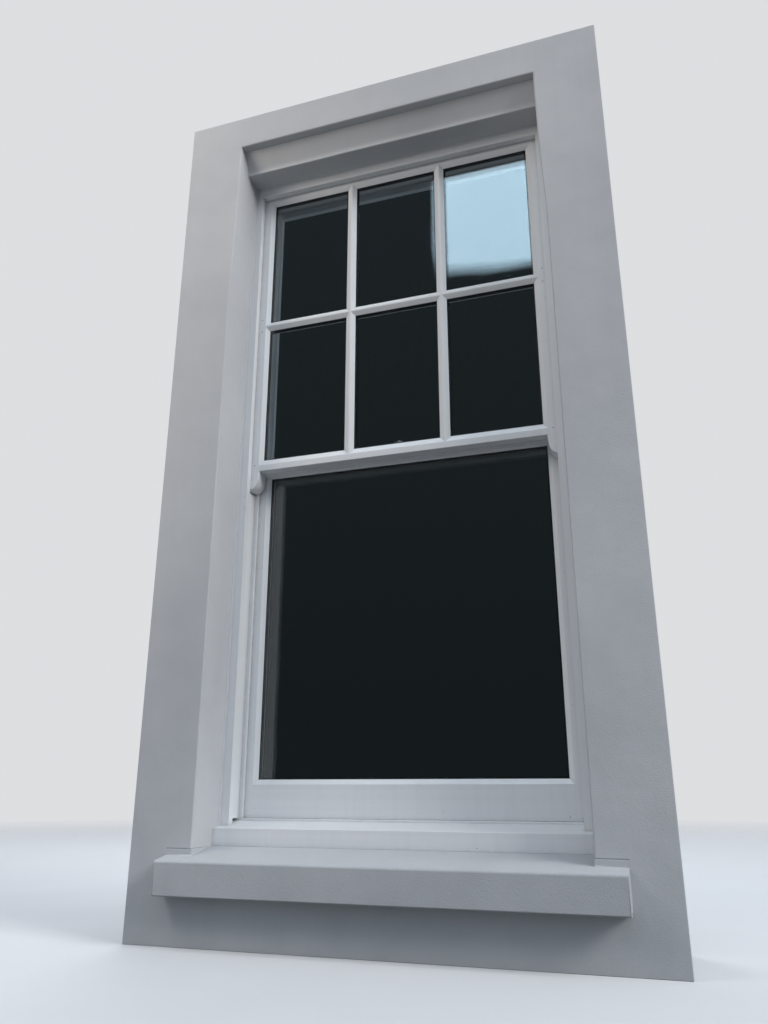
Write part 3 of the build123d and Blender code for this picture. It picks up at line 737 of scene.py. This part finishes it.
for step in range(10):
    angle = 0.75 + 0.24 * step
    ball.append((ball_radius * sin(angle), 0.0004 - ball_radius * cos(angle)))
ball.append((0, 0.0070))
turned(fastener, ball, (ball_at, fastener_line, arm_top), (1, 0, 0))
piece("sash_fastener_metal", fastener, plate_metal, "polished_metal", "sash_fastener")
screws("sash_fastener_screws", (0, 0, 1), [(side * base_screw_at, fastener_line, ledge + plate_thickness)
                                           for side in (-1, 1)])

# The keep: a small cast plate screwed to the ledge of the top sash's meeting rail, with two lugs
# that the arm passes between.
keep_low, keep_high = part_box("fastener_keep")
keep_corner = 0.004
keep_screw_at = 0.0165
lug_inside, lug_outside = 0.0063, 0.0120
lug_setback = 0.0015
lug_foot = 0.001
lug_corner, lug_arris = 0.0022, 0.0016
keep = bmesh.new()
rounded_bar(keep, keep_low, (keep_high.x, keep_high.y, ledge + plate_thickness), keep_corner, soft_arris)
for side in (-1, 1):
    left, right = sorted((side * lug_inside, side * lug_outside))
    rounded_bar(keep, (left, keep_low.y + lug_setback, ledge + lug_foot),
                (right, keep_high.y - lug_setback, keep_high.z), lug_corner, lug_arris)
piece("fastener_keep_metal", keep, plate_metal, "polished_metal", "fastener_keep")
keep_line = (keep_low.y + keep_high.y) / 2
screws("fastener_keep_screws", (0, 0, 1), [(side * keep_screw_at, keep_line, ledge + plate_thickness)
                                           for side in (-1, 1)])

# Hook lifts: pressed from one strip, a plate screwed to the bottom rail with its foot turned out
# and up into a finger hook that narrows a little.
hook = [(0.0000, 0.0300), (0.0000, 0.0060), (0.0006, 0.0032), (0.0026, 0.0010), (0.0056, 0.0000), (0.0150, 0.0000),
        (0.0210, 0.0006), (0.0232, 0.0024), (0.0240, 0.0052), (0.0240, 0.0140)]
strip = 0.0030
hook_narrows = 0.965
hook_corner = 0.0045
hook_arris = 0.0003
lift_screw_at, lift_screw_drop = 0.0125, 0.0085
near = 0.0005
for node in ("sash_lift_left", "sash_lift_right"):
    low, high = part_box(node)
    middle = (low.x + high.x) / 2
    lift = bmesh.new()
    edge = lift.edges.new([lift.verts.new((side * (high.x - low.x) / 2, *hook[0])) for side in (-1, 1)])
    for (out, up), (next_out, next_up) in zip(hook, hook[1:]):
        grown = bmesh.ops.extrude_edge_only(lift, edges=[edge])["geom"]
        edge = next(g for g in grown if isinstance(g, bmesh.types.BMEdge))
        bmesh.ops.translate(lift, verts=edge.verts[:], vec=(0, next_out - out, next_up - up))
        if next_out > strip:
            bmesh.ops.scale(lift, verts=edge.verts[:], vec=(hook_narrows, 1, 1))
    bmesh.ops.recalc_face_normals(lift, faces=lift.faces)
    if sum(f.normal.y for f in lift.faces if abs(f.normal.y) > 0.9 and f.calc_center_median().y < strip) > 0:
        bmesh.ops.reverse_faces(lift, faces=lift.faces)
    bmesh.ops.solidify(lift, geom=lift.faces[:], thickness=strip)
    lift.normal_update()
    through = [e for e in lift.edges if abs(e.verts[0].co.x - e.verts[1].co.x) < weld
               and e.calc_face_angle(0) > sharp_turn and abs(e.calc_length() - strip) < strip / 4]
    corners = [e for e in through if any(v.co.z > hook[0][1] - near for v in e.verts)
               or all(v.co.y > hook[-1][0] - strip - 2 * near and v.co.z > hook[-1][1] - near for v in e.verts)]
    ease(lift, corners, hook_corner, segments=5)
    lift.transform(Matrix.Translation((middle, low.y, low.z)))
    ease(lift, sharp_edges(lift, shortest=0.0006), hook_arris, segments=1)
    piece(node + "_metal", lift, plate_metal, "polished_metal", node)
    screws(node + "_screws", (0, 1, 0), [(middle + side * lift_screw_at, low.y + strip, high.z - lift_screw_drop)
                                         for side in (-1, 1)])

# Sash cords: waxed cotton plaited from eight strands to 6 mm, over the wheel and straight down
# into the groove of the stile, where a clout nail holds the end.
cotton, tree, shader, at = new_finish("waxed cotton")
fibre = add(tree, "TexNoise", Vector=at, Scale=900.0, Detail=4.0, Roughness=0.7)
handled = add(tree, "TexNoise", Vector=at, Scale=14.0, Detail=4.0, Roughness=0.6)
fresh = blend(tree, fibre.outputs["Fac"], (0.66, 0.61, 0.50, 1), (0.50, 0.45, 0.36, 1))
put(tree, shader, "Base Color", blend(tree, spread(tree, handled.outputs["Fac"], 0.45, 0.7, 0.0, 0.6), fresh,
                                      (0.33, 0.29, 0.23, 1)))
put(tree, shader, "Roughness", spread(tree, fibre.outputs["Fac"], 0.3, 0.7, 0.6, 0.8))
put(tree, shader, "Normal", bumped(tree, fibre.outputs["Fac"], 0.0002))
strands = 8
strand_radius = 0.00085
plait_radius = 0.0017
plait_weave = 0.00042
plait_length = 0.030
plait_step = 0.0013
tail_length = 0.030


def plaited_cord(node, side):
    """Strands that run round the cord both ways and cross over and under one another."""
    low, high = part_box(node)
    cord_radius = (high.y - low.y) / 2
    reach = (high.x - low.x) / 2 - cord_radius
    axle = Vector(((low.x + high.x) / 2, (low.y + high.y) / 2, high.z - reach - cord_radius))
    drop = axle.z - low.z
    length = drop + pi * reach + tail_length
    steps = int(length / plait_step)
    line = round_line(node, strand_radius, 1)
    for strand in range(strands):
        hand = 1 if strand < strands / 2 else -1
        track = line.splines.new("POLY")
        track.points.add(steps)
        for step, point in enumerate(track.points):
            run = length * step / steps
            round_wheel = min(max((run - drop) / reach, 0.0), pi)
            outward = Vector((-side * cos(round_wheel), 0, sin(round_wheel)))
            height = min(run, drop) - drop - max(run - drop - pi * reach, 0.0)
            turns = run / plait_length
            angle = 2 * pi * (hand * turns + 2 * strand / strands)
            away = plait_radius + hand * plait_weave * cos(strands * pi * turns)
            middle = axle + outward * reach + Vector((0, 0, height))
            point.co = (*(middle + away * (outward * cos(angle) + Vector((0, sin(angle), 0)))), 1)
    piece(node + "_plait", drawn_out(line), cotton, "cotton_cord", node, turn=pi, flat_faces=False)


plaited_cord("sash_cord_left", -1)
plaited_cord("sash_cord_right", 1)

# The studio: a pale floor that fades out into a pale surround, soft light from above with one broad
# lamp at the front and right, and the camera where the window is seen from below and from its right.
floor_radius = 12
floor_shape = bmesh.new()
bmesh.ops.create_circle(floor_shape, cap_ends=True, segments=96, radius=floor_radius)
floor_mesh = bpy.data.meshes.new("floor")
floor_shape.to_mesh(floor_mesh)
floor_shape.free()
floor = bpy.data.objects.new("floor", floor_mesh)
floor_paint, tree, shader, at = new_finish("pale floor")
scuffed = add(tree, "TexNoise", Vector=at, Scale=3.0, Detail=4.0)
pale = blend(tree, scuffed.outputs["Fac"], (0.66, 0.665, 0.67, 1), (0.70, 0.705, 0.71, 1))
# It throws back as little light as paving, and metal and glass meet it darker than the camera does
ray = add(tree, "LightPath").outputs
for kind, colour in (("Is Diffuse Ray", (0.165, 0.17, 0.165, 1)), ("Is Glossy Ray", (0.19, 0.195, 0.20, 1)),
                     ("Is Transmission Ray", (0.02, 0.022, 0.024, 1))):
    pale = blend(tree, ray[kind], pale, colour)
put(tree, shader, "Base Color", pale)
put(tree, shader, "Roughness", 0.8)
away = add(tree, "VectorMath", **{"0": at})
away.operation = "LENGTH"
put(tree, shader, "Alpha", spread(tree, away.outputs["Value"], 1.6, 8.0, 1.0, 0.0))
floor_mesh.materials.append(floor_paint)
bpy.context.scene.collection.objects.link(floor)

surround = bpy.data.worlds.new("studio")
surround.use_nodes = True
bpy.context.scene.world = surround
tree = surround.node_tree
toward = add(tree, "SeparateXYZ", Vector=add(tree, "TexCoord").outputs["Generated"]).outputs
overhead = add(tree, "Background", Strength=1.0, Color=blend(
    tree, spread(tree, toward["Z"], -0.2, 0.9, 0.0, 1.0), (0.10, 0.105, 0.11, 1), (0.66, 0.755, 0.90, 1)))
# What the glass mirrors: dark below, a light patch of sky high up in front, dark behind the room
beside_dark = spread(tree, reckoned(tree, "DIVIDE", toward["X"], toward["Y"]), 0.245, 0.26, 1.0, 0.0)
high_sky = spread(tree, toward["Z"], 0.82, 0.88, 0.0, 1.0)
low_sky = spread(tree, toward["Z"], 0.56, 0.575, 0.0, 1.0)
open_sky = reckoned(tree, "MAXIMUM", high_sky, reckoned(tree, "MULTIPLY", low_sky, beside_dark))
in_front = spread(tree, toward["Y"], -0.1, 0.0, 1.0, 0.0)
dark = blend(tree, spread(tree, toward["Z"], 0.1, 0.6, 0.0, 1.0), (0.018, 0.028, 0.030, 1), (0.05, 0.065, 0.075, 1))
outdoors = blend(tree, reckoned(tree, "MULTIPLY", open_sky, in_front), dark, (3.4, 4.65, 5.5, 1))
mirror_side = add(tree, "Background", Strength=1.0, Color=blend(tree, in_front, (0.010, 0.012, 0.013, 1), outdoors))
backdrop = add(tree, "Background", Strength=1.0, Color=(0.72, 0.735, 0.75, 1))
ray = add(tree, "LightPath").outputs
sharp_ray = reckoned(tree, "MAXIMUM", ray["Is Glossy Ray"], ray["Is Transmission Ray"])
lit = add(tree, "MixShader", **{"0": sharp_ray, "1": overhead.outputs[0], "2": mirror_side.outputs[0]})
shown = add(tree, "MixShader", **{"0": ray["Is Camera Ray"], "1": lit.outputs[0], "2": backdrop.outputs[0]})
put(tree, tree.nodes["World Output"], "Surface", shown.outputs[0])
tree.nodes.remove(tree.nodes["Background"])


def stand(name, held, at, target):
    """Sets up a lamp or the camera, turned to a point."""
    made = bpy.data.objects.new(name, held)
    made.location = at
    made.rotation_euler = (Vector(target) - made.location).to_track_quat("-Z", "Y").to_euler()
    bpy.context.scene.collection.objects.link(made)
    return made


def lamp(name, width, height, energy, colour, at, target, in_mirrors=False):
    """A soft lamp, which glass and metal mirror only where it says so."""
    light = bpy.data.lights.new(name, "AREA")
    light.shape = "RECTANGLE"
    light.size = width
    light.size_y = height
    light.energy = energy
    light.color = colour
    made = stand(name, light, at, target)
    made.visible_glossy = in_mirrors
    made.visible_transmission = in_mirrors


lamp("soft box", 3.4, 2.6, 400, (1.0, 0.99, 0.97), (6.4, -1.9, 4.6), (0, 0, 1.2), in_mirrors=True)
lamp("reflector", 0.9, 0.9, 17, (1.0, 0.90, 0.78), (-1.5, -1.3, 2.3), (-0.55, 0, 1.7))
lamp("room side light", 2.2, 2.2, 60, (1.0, 0.985, 0.96), (-1.9, 3.0, 3.3), (0, 0, 1.1))
bpy.context.scene.view_settings.view_transform = "Standard"

lens = bpy.data.cameras.new("camera")
lens.sensor_fit = "VERTICAL"
lens.sensor_height = 36
lens.lens = 29.144
bpy.context.scene.camera = stand("camera", lens, (0.5672, -1.7641, 0.3107), (-0.02, 0.0, 0.93))
